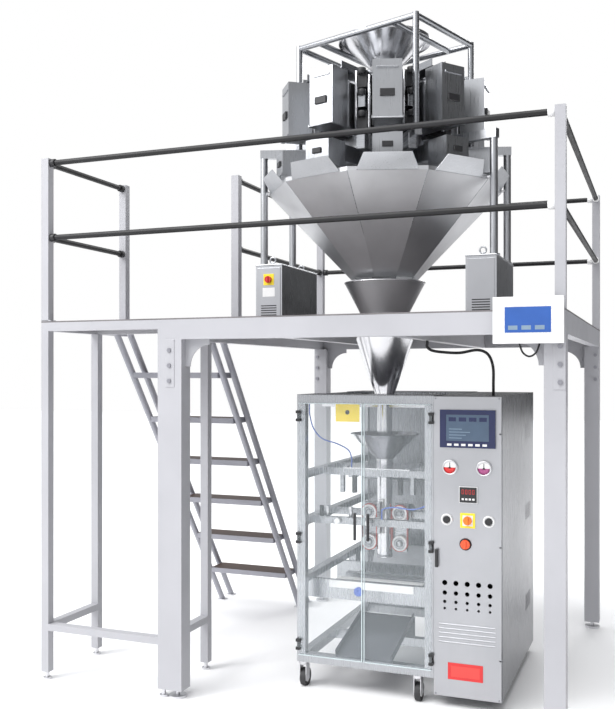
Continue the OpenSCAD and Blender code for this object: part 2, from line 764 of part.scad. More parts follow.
module touch_panel() {
  color("whitesmoke") site() translate([panel_x, 0, panel_z]) {
    translate([-163, -panel_out, -110]) cube([326, 40, 220]);
    difference() {
      translate([-30, -32, -10]) cube([60, 24, 20]);
      rod_x([-31, pin_y, 0], 10.1, 62);
    }
  }
}

// ---- cables, swept along hand-chosen points ----
function ring_at(p, t, r, n) = let (
  a = atan2(t[1], t[0]), side = [-sin(a), cos(a), 0], up = cross(t / norm(t), side))
  [for (k = [0:n - 1]) p + r * cos(360 * k / n) * side + r * sin(360 * k / n) * up];
function spline(p, i, t) = let (
  n = len(p) - 1, a = p[max(i - 1, 0)], b = p[i], c = p[min(i + 1, n)], d = p[min(i + 2, n)])
  0.5 * (2 * b + (c - a) * t + (2 * a - 5 * b + 4 * c - d) * t * t + (3 * b - a - 3 * c + d) * t * t * t);
function smooth(p, m) = [for (i = [0:len(p) - 2]) for (k = [0:m - 1]) spline(p, i, k / m), p[len(p) - 1]];
module cable(points, d, m = 3, n = 8) {
  p = smooth(points, m);
  c = len(p);
  rings = [for (i = [0:c - 1]) ring_at(p[i], p[min(i + 1, c - 1)] - p[max(i - 1, 0)], d / 2, n)];
  walls = [for (i = [0:c - 2]) for (k = [0:n - 1])
    [i * n + k, i * n + (k + 1) % n, (i + 1) * n + (k + 1) % n, (i + 1) * n + k]];
  polyhedron([for (r = rings) each r],
    concat([[for (k = [n - 1:-1:0]) k]], walls, [[for (k = [0:n - 1]) (c - 1) * n + k]]));
}

panel_cable_d = 9;
panel_route = [[1930, 24, 1992], [1930, 24, 1975], [1931, 24, 1955], [1948, 24, 1905], [1980, 24, 1885],
  [2012, 24, 1905], [2029, 24, 1955], [2030, 24, 1975], [2030, 24, 1992]];
cable_d = 16;
cabinet_route = [[1690, 700, 1680], [1690, 700, 1740], [1688, 700, 1840], [1660, 700, 1910], [1600, 700, 1935],
  [1500, 700, 1920], [1400, 700, 1925], [1340, 700, 1935],
  [1312, 700, 1955], [1312, 700, 1975], [1312, 700, 1992]];
hose_d = 8;
hose_a_route = [[640, 560, 1630], [640, 560, 1600], [642, 560, 1560], [664, 566, 1480], [710, 590, 1420],
  [780, 640, 1390], [836, 690, 1350], [850, 710, 1300], [850, 710, 1270], [850, 710, 1246]];
hose_b_route = [[1390, 560, 1200], [1390, 560, 1170], [1386, 558, 1130], [1350, 552, 1070], [1270, 548, 1040],
  [1160, 552, 1045], [1090, 564, 1030], [1080, 570, 1005], [1080, 570, 985], [1080, 570, 970]];

module panel_cable() color("black") site() cable(panel_route, panel_cable_d);
module cables_and_hoses() {
  color("royalblue") site() {
    cable(cabinet_route, cable_d);
    cable(hose_a_route, hose_d);
    cable(hose_b_route, hose_d);
  }
}

platform_posts();
platform_beams();
deck_plate();
levelling_feet();
landing_frame();
frame_bolts();
guard_rails();
rail_posts();
stair_strings();
stair_treads();
bagger_frame();
bagger_covers();
door_left();
door_right();
door_hinges();
caster_fork(0);  // caster_fork_1
caster_fork(1);  // caster_fork_2
caster_fork(2);  // caster_fork_3
caster_fork(3);  // caster_fork_4
caster_wheel(0);  // caster_wheel_1
caster_wheel(1);  // caster_wheel_2
caster_wheel(2);  // caster_wheel_3
caster_wheel(3);  // caster_wheel_4
forming_tube();
forming_collar();
pull_belts();
belt_drives();
pulley(0);  // pulley_1
pulley(1);  // pulley_2
pulley(2);  // pulley_3
pulley(3);  // pulley_4
vertical_sealer();
front_jaw();
rear_jaw();
jaw_guides();
film_roll();
dancer_arm();
output_chute();
cabinet_body();
cabinet_door();
operator_screen();
instruments();
push_button(0);  // push_button_1
push_button(1);  // push_button_2
selector_knob();
main_switch();
weigher_knob();
weigher_stand();
weigher_body();
weigher_top_frame();
infeed_funnel();
feeder_pans();
feed_hoppers();
weigh_hoppers();
feed_gate();
weigh_gate();
collecting_chute();
touch_panel();
panel_cable();
cables_and_hoses();
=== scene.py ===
"""Vertical form fill sealer under its weigher platform: looks, light and camera."""
import math

import bmesh
import bpy
from mathutils import Matrix, Vector


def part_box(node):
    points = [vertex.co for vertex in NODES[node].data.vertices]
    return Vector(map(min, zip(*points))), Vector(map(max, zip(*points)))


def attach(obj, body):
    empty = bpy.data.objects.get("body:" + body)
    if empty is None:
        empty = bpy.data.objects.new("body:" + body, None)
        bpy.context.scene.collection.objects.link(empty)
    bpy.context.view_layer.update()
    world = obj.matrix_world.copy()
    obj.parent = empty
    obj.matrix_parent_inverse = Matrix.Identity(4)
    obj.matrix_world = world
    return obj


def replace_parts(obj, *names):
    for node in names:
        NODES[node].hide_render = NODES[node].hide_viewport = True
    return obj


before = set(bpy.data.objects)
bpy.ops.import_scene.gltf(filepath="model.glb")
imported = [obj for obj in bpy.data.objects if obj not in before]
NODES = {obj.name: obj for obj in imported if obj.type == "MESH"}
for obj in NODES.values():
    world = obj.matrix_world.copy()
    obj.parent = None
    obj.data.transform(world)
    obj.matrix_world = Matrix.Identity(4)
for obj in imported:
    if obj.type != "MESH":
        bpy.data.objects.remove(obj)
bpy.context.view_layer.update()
MM = 0.001


def corner(node):
    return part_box(node)[0]


# Platform coordinates in millimetres: x right and y back from the front left post, z up.
ORIGIN = Vector((corner("platform_posts").x, corner("platform_posts").y, 0))


def at(x, y, z):
    return ORIGIN + Vector((x, y, z)) * MM


# The upright axis that the forming tube and the weigher share, and the weigher's ten heads around it.
AXIS_X, AXIS_Y = 1010, 860
AXIS = (AXIS_X, AXIS_Y, 0)
HEADS = 10
HEAD_STEP = 36
# Side of a rail post, radius of a rail, depth of the opening beside the landing, and the stair's treads.
RAIL_POST = 50
RAIL_RADIUS = 16
LANDING_OPENING = 870
TREADS = 6


# ---------------------------------------------------------------- camera
def make_camera():
    camera = bpy.data.cameras.new("camera")
    camera.sensor_width = 36
    camera.lens = 46.0
    camera.shift_y = 0.026
    camera.clip_end = 100
    eye = bpy.data.objects.new("camera", camera)
    eye.location = at(2584, -4394, 1806)
    eye.rotation_euler = (math.radians(90), 0, math.radians(21.55))
    bpy.context.scene.collection.objects.link(eye)
    bpy.context.scene.camera = eye


make_camera()


# ---------------------------------------------------------------- cables and hoses
def spline(points, steps):
    """A smooth run through the given points, as the solids have it."""
    made = []
    last = len(points) - 1
    for i in range(last):
        a, b = points[max(i - 1, 0)], points[i]
        c, d = points[i + 1], points[min(i + 2, last)]
        for k in range(steps):
            t = k / steps
            made.append(0.5 * (2 * b + (c - a) * t + (2 * a - 5 * b + 4 * c - d) * t * t
                               + (3 * b - a - 3 * c + d) * t ** 3))
    return made + [points[last]]


def cable(name, route, diameter, mat):
    curve = bpy.data.curves.new(name, "CURVE")
    curve.dimensions = "3D"
    curve.bevel_depth = diameter * MM / 2
    curve.bevel_resolution = 4
    curve.use_fill_caps = True
    run = spline([at(*p) for p in route], 6)
    line = curve.splines.new("POLY")
    line.points.add(len(run) - 1)
    for point, place in zip(line.points, run):
        point.co = (*place, 1)
    piece = bpy.data.objects.new(name, curve)
    bpy.context.scene.collection.objects.link(piece)
    piece.data.materials.append(mat)
    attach(piece, "frame")
    return piece


PANEL_ROUTE = [(1930, 24, 1992), (1930, 24, 1975), (1931, 24, 1955), (1948, 24, 1905), (1980, 24, 1885),
               (2012, 24, 1905), (2029, 24, 1955), (2030, 24, 1975), (2030, 24, 1992)]
CABINET_ROUTE = [(1690, 700, 1680), (1690, 700, 1740), (1688, 700, 1840), (1660, 700, 1910),
                 (1600, 700, 1935), (1500, 700, 1920), (1400, 700, 1925), (1340, 700, 1935),
                 (1312, 700, 1955), (1312, 700, 1975), (1312, 700, 1992)]
HOSE_A_ROUTE = [(640, 560, 1630), (640, 560, 1600), (642, 560, 1560), (664, 566, 1480), (710, 590, 1420),
                (780, 640, 1390), (836, 690, 1350), (850, 710, 1300), (850, 710, 1270), (850, 710, 1246)]
HOSE_B_ROUTE = [(1390, 560, 1200), (1390, 560, 1170), (1386, 558, 1130), (1350, 552, 1070), (1270, 548, 1040),
                (1160, 552, 1045), (1090, 564, 1030), (1080, 570, 1005), (1080, 570, 985), (1080, 570, 970)]


# ---------------------------------------------------------------- materials
def shader(name, color, rough, metal=0.0, **sockets):
    mat = bpy.data.materials.new(name)
    mat.use_nodes = True
    bsdf = mat.node_tree.nodes["Principled BSDF"]
    bsdf.inputs["Base Color"].default_value = (*color, 1)
    bsdf.inputs["Roughness"].default_value = rough
    bsdf.inputs["Metallic"].default_value = metal
    for key, value in sockets.items():
        bsdf.inputs[key.replace("_", " ")].default_value = value
    mat.diffuse_color = (*color, 1)
    return mat, mat.node_tree, bsdf


def noise(tree, scale, detail=3.0, stretch=(1, 1, 1)):
    """Noise in object space, drawn out along an axis by a small factor there."""
    where = tree.nodes.new("ShaderNodeTexCoord")
    mapping = tree.nodes.new("ShaderNodeMapping")
    mapping.inputs["Scale"].default_value = stretch
    texture = tree.nodes.new("ShaderNodeTexNoise")
    texture.inputs["Scale"].default_value = scale
    texture.inputs["Detail"].default_value = detail
    tree.links.new(where.outputs["Object"], mapping.inputs["Vector"])
    tree.links.new(mapping.outputs["Vector"], texture.inputs["Vector"])
    return texture.outputs["Fac"]


def ramp(tree, fac, low, high, start=0.3, end=0.7):
    stops = tree.nodes.new("ShaderNodeValToRGB")
    stops.color_ramp.elements[0].position = start
    stops.color_ramp.elements[0].color = (*low, 1)
    stops.color_ramp.elements[1].position = end
    stops.color_ramp.elements[1].color = (*high, 1)
    tree.links.new(fac, stops.inputs["Fac"])
    return stops.outputs["Color"]


def vary_rough(tree, bsdf, fac, low, high):
    span = tree.nodes.new("ShaderNodeMapRange")
    span.inputs["To Min"].default_value = low
    span.inputs["To Max"].default_value = high
    tree.links.new(fac, span.inputs["Value"])
    tree.links.new(span.outputs["Result"], bsdf.inputs["Roughness"])


def bump(tree, bsdf, fac, strength, distance):
    node = tree.nodes.new("ShaderNodeBump")
    node.inputs["Strength"].default_value = strength
    node.inputs["Distance"].default_value = distance
    tree.links.new(fac, node.inputs["Height"])
    tree.links.new(node.outputs["Normal"], bsdf.inputs["Normal"])


def shade(color, factor):
    return tuple(min(1.0, c * factor) for c in color)


def paint(name, color, rough=0.38, grime=0.93):
    """Sprayed paint: orange peel, faint handling marks and a slow drift in tone."""
    mat, tree, bsdf = shader(name, color, rough, Specular_IOR_Level=0.5)
    tree.links.new(ramp(tree, noise(tree, 2.2, 4), shade(color, grime), shade(color, 1.03)),
                   bsdf.inputs["Base Color"])
    vary_rough(tree, bsdf, noise(tree, 9, 5), rough - 0.08, rough + 0.12)
    bump(tree, bsdf, noise(tree, 420, 2), 0.12, 0.0006)
    return mat


def brushed(name, color, rough=0.3, along=(1, 1, 0.02), drift=0.86):
    """Ground stainless sheet: fine lines along one axis over a slow drift in tone."""
    mat, tree, bsdf = shader(name, color, rough, 1.0)
    tree.links.new(ramp(tree, noise(tree, 3, 4), shade(color, drift), shade(color, 1.06)),
                   bsdf.inputs["Base Color"])
    grain = noise(tree, 260, 3, along)
    vary_rough(tree, bsdf, grain, rough - 0.1, rough + 0.16)
    bump(tree, bsdf, grain, 0.18, 0.0005)
    return mat


def moulded(name, color, rough=0.4, grain=0.1):
    mat, tree, bsdf = shader(name, color, rough)
    tree.links.new(ramp(tree, noise(tree, 14, 3), shade(color, 0.92), shade(color, 1.04)),
                   bsdf.inputs["Base Color"])
    vary_rough(tree, bsdf, noise(tree, 30, 4), rough - 0.05, rough + 0.1)
    bump(tree, bsdf, noise(tree, 900, 2), grain, 0.0004)
    return mat


def rubber(name, color):
    mat, tree, bsdf = shader(name, color, 0.62)
    tree.links.new(ramp(tree, noise(tree, 20, 5), shade(color, 0.75), shade(color, 1.2)),
                   bsdf.inputs["Base Color"])
    bump(tree, bsdf, noise(tree, 500, 4), 0.35, 0.0008)
    return mat


def tread_paint(name, top, side):
    """Dark non-slip paint on upward faces, lighter paint on the folded edges."""
    mat, tree, bsdf = shader(name, side, 0.5)
    facing = tree.nodes.new("ShaderNodeNewGeometry")
    split = tree.nodes.new("ShaderNodeSeparateXYZ")
    above = tree.nodes.new("ShaderNodeMath")
    above.operation = "GREATER_THAN"
    above.inputs[1].default_value = 0.5
    mix = tree.nodes.new("ShaderNodeMix")
    mix.data_type = "RGBA"
    tree.links.new(facing.outputs["Normal"], split.inputs[0])
    tree.links.new(split.outputs["Z"], above.inputs[0])
    tree.links.new(above.outputs[0], mix.inputs["Factor"])
    colors = [s for s in mix.inputs if s.type == "RGBA"]
    tree.links.new(ramp(tree, noise(tree, 6, 4), shade(side, 0.9), side), colors[0])
    tree.links.new(ramp(tree, noise(tree, 60, 5), shade(top, 0.7), shade(top, 1.25)), colors[1])
    tree.links.new(next(s for s in mix.outputs if s.type == "RGBA"), bsdf.inputs["Base Color"])
    bump(tree, bsdf, noise(tree, 300, 4), 0.4, 0.001)
    return mat


def chequer(name, color):
    """Painted floor plate with raised lozenges in two directions."""
    mat, tree, bsdf = shader(name, color, 0.5, 0.2)
    tree.links.new(ramp(tree, noise(tree, 5, 5), shade(color, 0.75), shade(color, 1.3)),
                   bsdf.inputs["Base Color"])
    where = tree.nodes.new("ShaderNodeTexCoord")
    tile = tree.nodes.new("ShaderNodeTexVoronoi")
    tile.inputs["Scale"].default_value = 28
    tile.inputs["Randomness"].default_value = 0.0
    tree.links.new(where.outputs["Object"], tile.inputs["Vector"])
    bump(tree, bsdf, tile.outputs["Distance"], 0.5, 0.002)
    return mat


def clear_sheet(name, color, alpha):
    """Clear acrylic: mostly see-through, with a gloss and a few wiping marks."""
    mat, tree, bsdf = shader(name, color, 0.06, Alpha=alpha, IOR=1.49)
    vary_rough(tree, bsdf, noise(tree, 5, 5), 0.03, 0.16)
    bump(tree, bsdf, noise(tree, 3, 2), 0.05, 0.002)
    return mat


PAINT = paint("frame_paint", (0.42, 0.42, 0.445))
STAIR = paint("stair_paint", (0.36, 0.36, 0.40), 0.34)
BLACK_RAIL = paint("rail_black", (0.006, 0.006, 0.008), 0.5, 0.1)
DECK = chequer("deck_plate", (0.16, 0.15, 0.155))
TREAD = tread_paint("tread_paint", (0.055, 0.03, 0.022), (0.34, 0.34, 0.38))
ZINC = brushed("zinc", (0.72, 0.72, 0.74), 0.32, (1, 1, 1))
BOLT = brushed("bolt_steel", (0.32, 0.32, 0.35), 0.36, (1, 1, 1))
STEEL_V = brushed("stainless_upright", (0.42, 0.43, 0.45), 0.24, (1, 1, 0.02))
STEEL_H = brushed("stainless_level", (0.40, 0.41, 0.43), 0.26, (0.02, 0.02, 1))
POLISHED = brushed("stainless_polished", (0.70, 0.70, 0.72), 0.17, (1, 1, 0.05), 0.92)
CONE = brushed("cone_steel", (0.66, 0.665, 0.68), 0.36, (1, 1, 0.03))
WEIGHER = brushed("weigher_steel", (0.50, 0.51, 0.53), 0.28, (1, 1, 0.03))
PANEL = brushed("cabinet_face", (0.44, 0.445, 0.465), 0.32, (1, 1, 0.02), 0.93)
CABINET = brushed("cabinet_sheet", (0.24, 0.245, 0.26), 0.24, (1, 1, 0.02))
BLACK = moulded("black_plastic", (0.02, 0.02, 0.022), 0.42)
WHITE = moulded("white_plastic", (0.82, 0.82, 0.82), 0.34)
TYRE = rubber("caster_tyre", (0.03, 0.03, 0.032))
CABLE = rubber("cable_sheath", (0.02, 0.02, 0.022))
HOSE = moulded("air_hose_blue", (0.05, 0.12, 0.50), 0.28)
BELT = rubber("pull_belt_red", (0.50, 0.05, 0.035))
FILM = moulded("wound_film", (0.80, 0.81, 0.85), 0.22, 0.2)
CHUTE = paint("chute_paint", (0.085, 0.09, 0.105), 0.35, 0.8)
ACRYLIC = clear_sheet("acrylic", (0.80, 0.88, 0.92), 0.08)
EDGE = moulded("acrylic_edge", (0.62, 0.70, 0.72), 0.18)
NAVY = moulded("screen_case", (0.015, 0.022, 0.08), 0.22)
DISPLAY = moulded("screen_glass", (0.07, 0.11, 0.17), 0.10, 0.0)
DISPLAY_INK = moulded("screen_ink", (0.20, 0.28, 0.36), 0.2, 0.0)
BLUE_GLASS = moulded("panel_glass", (0.03, 0.10, 0.36), 0.10, 0.0)
ORANGE = moulded("knob_orange", (0.85, 0.20, 0.02), 0.3)
ORANGE_RED = moulded("switch_orange_red", (0.80, 0.10, 0.03), 0.3)
RED = moulded("plate_red", (0.62, 0.03, 0.03), 0.35)
YELLOW = moulded("plate_yellow", (0.92, 0.70, 0.03), 0.4)
PURPLE = moulded("dial_tint", (0.38, 0.08, 0.22), 0.3)

FINISH = {
    "platform_posts": PAINT, "platform_beams": PAINT, "landing_frame": PAINT, "rail_posts": PAINT,
    "deck_plate": DECK, "levelling_feet": ZINC, "frame_bolts": BOLT, "guard_rails": BLACK_RAIL,
    "stair_strings": STAIR, "stair_treads": TREAD, "bagger_frame": STEEL_V, "bagger_covers": CABINET,
    "door_left": ACRYLIC, "door_right": ACRYLIC, "door_hinges": BLACK, "forming_tube": POLISHED,
    "forming_collar": POLISHED, "pull_belts": BELT, "belt_drives": STEEL_H, "vertical_sealer": WHITE,
    "front_jaw": STEEL_H, "rear_jaw": STEEL_H, "jaw_guides": POLISHED, "film_roll": FILM,
    "dancer_arm": STEEL_H, "output_chute": CHUTE, "cabinet_body": CABINET, "cabinet_door": PANEL,
    "operator_screen": NAVY, "instruments": WHITE, "push_button_1": BLACK, "push_button_2": BLACK,
    "selector_knob": ORANGE, "main_switch": ORANGE_RED, "weigher_stand": WEIGHER, "weigher_body": WEIGHER,
    "weigher_top_frame": STEEL_H, "infeed_funnel": POLISHED, "feeder_pans": STEEL_H,
    "feed_hoppers": WEIGHER, "weigh_hoppers": WEIGHER, "feed_gate": WEIGHER, "weigh_gate": WEIGHER,
    "collecting_chute": CONE, "touch_panel": WHITE, "panel_cable": CABLE, "cables_and_hoses": CABLE,
    "weigher_knob": RED,
}
for number in range(1, 5):
    FINISH[f"caster_fork_{number}"] = ZINC
    FINISH[f"caster_wheel_{number}"] = TYRE
    FINISH[f"pulley_{number}"] = WHITE


def finish_cad():
    for name, node in NODES.items():
        node.data.materials.clear()
        node.data.materials.append(FINISH[name])


finish_cad()


# ---------------------------------------------------------------- piece makers
def piece_from(bm, name, mat, body, bevel=0.0, smooth=False):
    mesh = bpy.data.meshes.new(name)
    bmesh.ops.recalc_face_normals(bm, faces=bm.faces)
    bm.to_mesh(mesh)
    bm.free()
    made = bpy.data.objects.new(name, mesh)
    bpy.context.scene.collection.objects.link(made)
    mesh.materials.append(mat)
    if smooth:
        mesh.shade_smooth()
    if bevel:
        modifier = made.modifiers.new("edges", "BEVEL")
        modifier.width = bevel * MM
        modifier.segments = 2
        modifier.limit_method = "ANGLE"
    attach(made, body)
    return made


def block(name, low, high, mat, body, bevel=2.0, turn=0.0, about=None):
    """A box between two corners in platform millimetres, its edges rounded."""
    bm = bmesh.new()
    bmesh.ops.create_cube(bm, size=1)
    a, b = at(*low), at(*high)
    size = b - a
    bmesh.ops.transform(bm, matrix=Matrix.Translation((a + b) / 2) @ Matrix.Diagonal((*size, 1)), verts=bm.verts)
    if turn:
        pivot = at(*about)
        spin = Matrix.Translation(pivot) @ Matrix.Rotation(math.radians(turn), 4, "Z") @ Matrix.Translation(-pivot)
        bmesh.ops.transform(bm, matrix=spin, verts=bm.verts)
    return piece_from(bm, name, mat, body, bevel)


AXIS_TURN = {"x": Matrix.Rotation(math.pi / 2, 4, "Y"), "y": Matrix.Rotation(math.pi / 2, 4, "X"),
             "z": Matrix.Identity(4)}


def lathe(name, centre, axis, outline, mat, body, sides=40, arc=(0, 360)):
    """A turned piece: outline is a list of (radius, distance along the axis) in millimetres."""
    bm = bmesh.new()
    full = arc == (0, 360)
    steps = sides if full else sides + 1
    rings = []
    for k in range(steps):
        angle = math.radians(arc[0] + (arc[1] - arc[0]) * k / sides)
        rings.append([bm.verts.new((r * MM * math.cos(angle), r * MM * math.sin(angle), h * MM))
                      for r, h in outline])
    count = len(outline)
    for k in range(steps if full else steps - 1):
        one, two = rings[k], rings[(k + 1) % steps]
        for i in range(count):
            j = (i + 1) % count
            bm.faces.new((one[i], two[i], two[j], one[j]))
    bmesh.ops.remove_doubles(bm, verts=bm.verts, dist=1e-6)
    if not full:
        bmesh.ops.holes_fill(bm, edges=bm.edges)
    bmesh.ops.transform(bm, matrix=Matrix.Translation(at(*centre)) @ AXIS_TURN[axis], verts=bm.verts)
    return piece_from(bm, name, mat, body, 0.0, True)


def disc(name, centre, axis, radius, height, mat, body, edge=1.5):
    outline = [(0.01, 0), (radius, 0), (radius, height - edge), (radius - edge, height), (0.01, height)]
    return lathe(name, centre, axis, outline, mat, body)


def collar(name, centre, axis, inner, outer, length, mat, body):
    edge = min(2.0, (outer - inner) / 3)
    outline = [(inner, 0), (outer - edge, 0), (outer, edge), (outer, length - edge), (outer - edge, length),
               (inner, length)]
    return lathe(name, centre, axis, outline, mat, body)


def mm_box(node):
    """A CAD node's low and high corners in platform millimetres."""
    low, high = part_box(node)
    return [(c - ORIGIN) / MM for c in (low, high)]


# ---------------------------------------------------------------- cables, rails and platform
def add_cables():
    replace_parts(cable("panel_lead", PANEL_ROUTE, 9, CABLE), "panel_cable")
    leads = cable("cabinet_lead", CABINET_ROUTE, 16, CABLE)
    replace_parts(leads, "cables_and_hoses")
    cable("air_hose_upper", HOSE_A_ROUTE, 8, HOSE)
    cable("air_hose_lower", HOSE_B_ROUTE, 8, HOSE)


def add_rail_fittings():
    """A socket where each rail meets its post, white at the right-hand posts, and a foot plate under each post."""
    low, high = mm_box("rail_posts")
    rail_low, rail_high = mm_box("guard_rails")
    post, radius = RAIL_POST, RAIL_RADIUS
    levels = [rail_high.z - radius, rail_low.z + radius]
    left, right, front, back = low.x + post, high.x - post, low.y + post / 2, high.y - post / 2
    opening = LANDING_OPENING - post / 2
    for n, z in enumerate(levels):
        spots = [((left, front), "x"), ((right - 34, front), "x"), ((post, back), "x"), ((right - 34, back), "x"),
                 ((right + post / 2, front + post / 2 + 34), "y"), ((right + post / 2, back - post / 2), "y"),
                 ((left - post / 2, front + post / 2 + 34), "y"), ((left - post / 2, opening - post / 2), "y"),
                 ((post / 2, opening + post / 2 + 34), "y"), ((post / 2, back - post / 2), "y")]
        for k, ((x, y), axis) in enumerate(spots):
            white = x > right - post
            collar(f"rail_socket_{n}_{k}", (x, y, z), axis, radius + 0.5, radius + 7, 34, WHITE if white else BLACK,
                   "frame")
    corners = [(low.x, low.y), (high.x - post, low.y), (high.x - post, high.y - post), (0, high.y - post),
               (0, LANDING_OPENING - post), (low.x, LANDING_OPENING - post)]
    for k, (x, y) in enumerate(corners):
        wide = 0 if x > high.x - 60 else 18
        block(f"post_flange_{k}", (x, y, low.z), (x + post + wide, y + post, low.z + 7), PAINT, "frame")


def add_platform_details():
    """Welded corner plates behind the bolts and pads on the stair strings."""
    bolts_low = mm_box("frame_bolts")[0]
    for k, x in enumerate((0, 2150 - 56)):
        block(f"corner_plate_{k}", (x, -3, bolts_low.z - 24), (x + 56, 0.2, 1992), PAINT, "frame")
    string_high = mm_box("stair_strings")[1]
    for k, y in enumerate((string_high.y - 62, string_high.y - 222)):
        for side, x in enumerate((-710, -45)):
            block(f"string_pad_{side}_{k}", (x - 34, y, 0), (x + 34, y + 60, 6), ZINC, "frame")
    treads_low, treads_high = mm_box("stair_treads")
    rise = 2110 / (TREADS + 1)
    top = 2052
    for k in range(1, TREADS + 1):
        y = 550 + 20 + (top + 40 - rise * k) * 1500 / top - 20
        block(f"tread_nosing_{k}", (treads_low.x + 2, y + 198, rise * k - 34),
              (treads_high.x - 2, y + 203, rise * k - 1), STAIR, "frame")


# ---------------------------------------------------------------- bagger
def add_door_details():
    for side, node in enumerate(("door_left", "door_right")):
        low, high = mm_box(node)
        face = high.y
        x0, x1 = (low.x, high.x)
        meeting = x1 - 5 if side == 0 else x0
        block(f"{node}_meeting_edge", (meeting, face - 9, low.z), (meeting + 5, face + 1.0, high.z), EDGE, node,
              1)
        for n, z in enumerate((low.z, high.z - 4)):
            block(f"{node}_polished_edge_{n}", (x0 + 8, face - 9, z), (x1 - 8, face + 0.5, z + 4), EDGE, node,
                  1)
        grip = (x1 - 41 if side == 0 else x0 + 27)
        block(f"{node}_grip", (grip - 1, low.y - 0.6, 874), (grip + 15, low.y + 12.5, 1026), BLACK, node,
              4)


def add_bagger_details():
    tube_high = mm_box("forming_tube")[1]
    x, y = AXIS_X, AXIS_Y
    block("front_label", (831, 480, 1528), (975, 485, 1648), YELLOW, "frame", 3)
    disc("front_label_mark", (903, 480.2, 1582), "y", 13, 2, BLACK, "frame", 0.5)
    for n, z in enumerate((705, 1180, 1625)):
        collar(f"tube_band_{n}", (x, y, z), "z", 45.0, 48, 12, STEEL_H, "frame")
    collar("funnel_lip", (x, y, tube_high.z - 8), "z", 176, 180, 8, POLISHED, "frame")
    low, high = mm_box("vertical_sealer")
    block("sealer_heater", (x - 10, low.y + 222, low.z + 8), (x + 10, high.y - 31, high.z - 8), STEEL_H,
          "vertical_sealer", 2)
    disc("sealer_knob", (x, low.y + 12, 950), "y", 15, 8, WHITE, "vertical_sealer")
    disc("tension_knob", (x - 190, 560, 950), "y", 17, 26, WHITE, "frame")
    disc("regulator_dial", (x - 70, 580, 545), "y", 26, 20, HOSE, "frame")
    for jaw, near in (("front_jaw", False), ("rear_jaw", True)):
        low, high = mm_box(jaw)
        edge = high.y - 3 if not near else low.y - 0.2
        for n in range(5):
            z = low.z + 12 + 10 * n
            block(f"{jaw}_serration_{n}", (low.x + 20, edge, z), (high.x - 20, edge + 3.2, z + 4), POLISHED, jaw,
                  0.5)
    low, high = mm_box("front_jaw")
    block("front_jaw_cover", (low.x + 4, low.y + 22, high.z - 1), (high.x - 4, high.y - 8, high.z + 5), WHITE,
          "front_jaw", 2)
    for n, (cx, cz) in enumerate(((-95.3, 785), (-95.3, 965), (95.3, 785), (95.3, 965))):
        collar(f"pulley_hub_{n + 1}", (x + cx, y - 14.2, cz), "y", 15.5, 34, 2.5, STEEL_H, f"pulley_{n + 1}")
    block("jaw_bar_guard", (x - 255, 575, 556), (x + 255, 580.5, 598), WHITE, "frame", 2)
    for n, dx in enumerate((-300, -262, -120)):
        disc(f"valve_{n}", (x + dx, 580, 969.5), "z", 13, 62, ZINC if n else BLACK, "frame",
             3)
    for n, dx in enumerate((-215, -140, 140, 215)):
        block(f"drive_hanger_{n}", (x + dx - 12, 694, 1096), (x + dx + 12, 726, 1200.5), BLACK if n % 3 else STEEL_H,
              "frame", 3)
    for s in (-1, 1):
        disc(f"drive_motor_{(s + 3) // 2}", (x + s * 95.3, 1085, 950), "y", 42, 130, CHUTE, "frame", 6)
        disc(f"drive_cap_{(s + 3) // 2}", (x + s * 95.3, 1100, 950), "y", 34, 15, BLACK, "frame", 3)


def add_film_details():
    low, high = mm_box("film_roll")
    centre = ((low.y + high.y) / 2, (low.z + high.z) / 2)
    for n in range(9):
        radius = 60 + 10 * n
        for side, x in enumerate((810 - 1.2, 1210)):
            collar(f"film_lap_{side}_{n}", (x, *centre), "x", radius, radius + 4, 1.2, FILM, "film_roll")
    low, high = mm_box("dancer_arm")
    for n, x in enumerate((low.x + 160, high.x - 172)):
        collar(f"dancer_collar_{n}", (x, 1376, 1150), "x", 10.2, 17, 12, ZINC, "dancer_arm")


def add_caster_details():
    for n in range(1, 5):
        low, high = mm_box(f"caster_wheel_{n}")
        centre = ((low.y + high.y) / 2, (low.z + high.z) / 2)
        for side, x in enumerate((low.x + 1, high.x - 5)):
            collar(f"caster_rim_{n}_{side}", (x, *centre), "x", 8, 30, 4, WHITE, f"caster_wheel_{n}")
        fork_low, fork_high = mm_box(f"caster_fork_{n}")
        x, y = (fork_low.x + fork_high.x) / 2, fork_low.y + 28
        collar(f"caster_race_{n}", (x, y, 131), "z", 12, 25, 7, ZINC, f"caster_fork_{n}")


